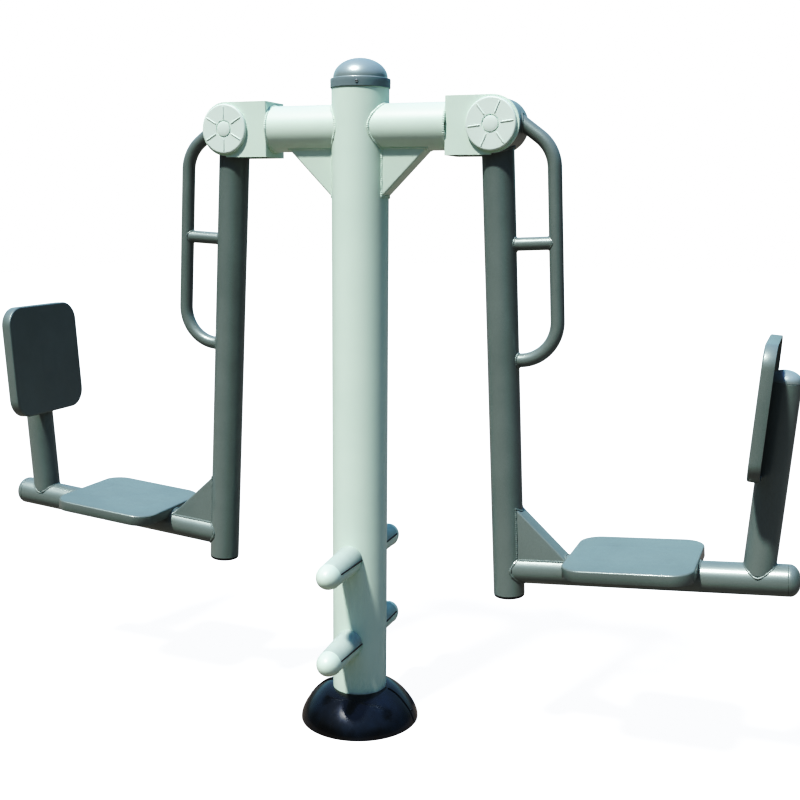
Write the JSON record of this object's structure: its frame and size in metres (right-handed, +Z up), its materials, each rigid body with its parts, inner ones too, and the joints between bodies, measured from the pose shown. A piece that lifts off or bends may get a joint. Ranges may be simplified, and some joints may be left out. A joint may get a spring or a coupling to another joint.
{
  "type": "outdoor double leg press machine",
  "caption": "Outdoor double leg press: a round post with a crossarm from which two seats with backrests hang on pivots, with grip handles and foot pegs.",
  "frame": {"origin": "on the ground at the centre of the post's foot", "axes": "+X towards the right-hand seat, +Z up, -Y towards the front"},
  "size_m": [2.1478, 0.456, 1.6805],
  "materials": {
    "cream_coat": "cream powder coat, satin, with fine orange peel",
    "graphite_coat": "dark grey metallic powder coat, satin",
    "dome_grey": "grey moulded plastic, semi-gloss",
    "black_gloss": "black moulded plastic, high gloss",
    "cream_plastic": "cream moulded plastic, satin",
    "black_rubber": "black rubber, matt",
    "plated_steel": "zinc-plated steel",
    "bronze": "plain bearing bronze"
  },
  "bodies": {
    "root": {"anchor_flange": "plated_steel", "base_cover_front": "black_gloss", "base_cover_rear": "black_gloss", "crossarm_gusset_left": "cream_coat", "crossarm_gusset_right": "cream_coat", "crossarm_left": "cream_coat", "crossarm_right": "cream_coat", "main_post": "cream_coat", "peg_bar_lower": "cream_coat", "peg_bar_upper": "cream_coat", "peg_cap_lower_front": "cream_coat", "peg_cap_lower_rear": "cream_coat", "peg_cap_upper_front": "cream_coat", "peg_cap_upper_rear": "cream_coat", "peg_tread_lower_front": "cream_plastic", "peg_tread_lower_rear": "cream_plastic", "peg_tread_upper_front": "cream_plastic", "peg_tread_upper_rear": "cream_plastic", "pivot_bolt_left": "plated_steel", "pivot_bolt_right": "plated_steel", "pivot_bracket_left": "cream_coat", "pivot_bracket_right": "cream_coat", "pivot_cover_left_front": "cream_plastic", "pivot_cover_left_rear": "cream_plastic", "pivot_cover_right_front": "cream_plastic", "pivot_cover_right_rear": "cream_plastic", "pivot_nut_left": "plated_steel", "pivot_nut_right": "plated_steel", "post_cap": "dome_grey", "post_cap_screw_front": "plated_steel", "post_cap_screw_rear": "plated_steel", "stop_buffer_left": "black_rubber", "stop_buffer_right": "black_rubber"},
    "arm_left": {"arm_end_plug_left": "black_rubber", "arm_gusset_left": "graphite_coat", "arm_tube_left": "graphite_coat", "back_pan_left": "graphite_coat", "back_tube_cap_left": "dome_grey", "back_tube_left": "graphite_coat", "handle_left": "graphite_coat", "handle_strut_left": "graphite_coat", "hub_bush_left": "bronze", "hub_drum_left": "graphite_coat", "seat_pan_left": "graphite_coat", "seat_tube_cap_left": "graphite_coat", "seat_tube_left": "graphite_coat"},
    "arm_right": {"arm_end_plug_right": "black_rubber", "arm_gusset_right": "graphite_coat", "arm_tube_right": "graphite_coat", "back_pan_right": "graphite_coat", "back_tube_cap_right": "dome_grey", "back_tube_right": "graphite_coat", "handle_right": "graphite_coat", "handle_strut_right": "graphite_coat", "hub_bush_right": "bronze", "hub_drum_right": "graphite_coat", "seat_pan_right": "graphite_coat", "seat_tube_cap_right": "graphite_coat", "seat_tube_right": "graphite_coat"}
  },
  "joints": [
    {"name": "arm_left_swing", "type": "hinge", "parent": "root", "child": "arm_left", "pos_m": [-0.345, 0, 1.517], "axis": [0, 1, 0], "range_deg": [0, 25]},
    {"name": "arm_right_swing", "type": "hinge", "parent": "root", "child": "arm_right", "pos_m": [0.345, 0, 1.517], "axis": [0, -1, 0], "range_deg": [0, 25]}
  ]
}
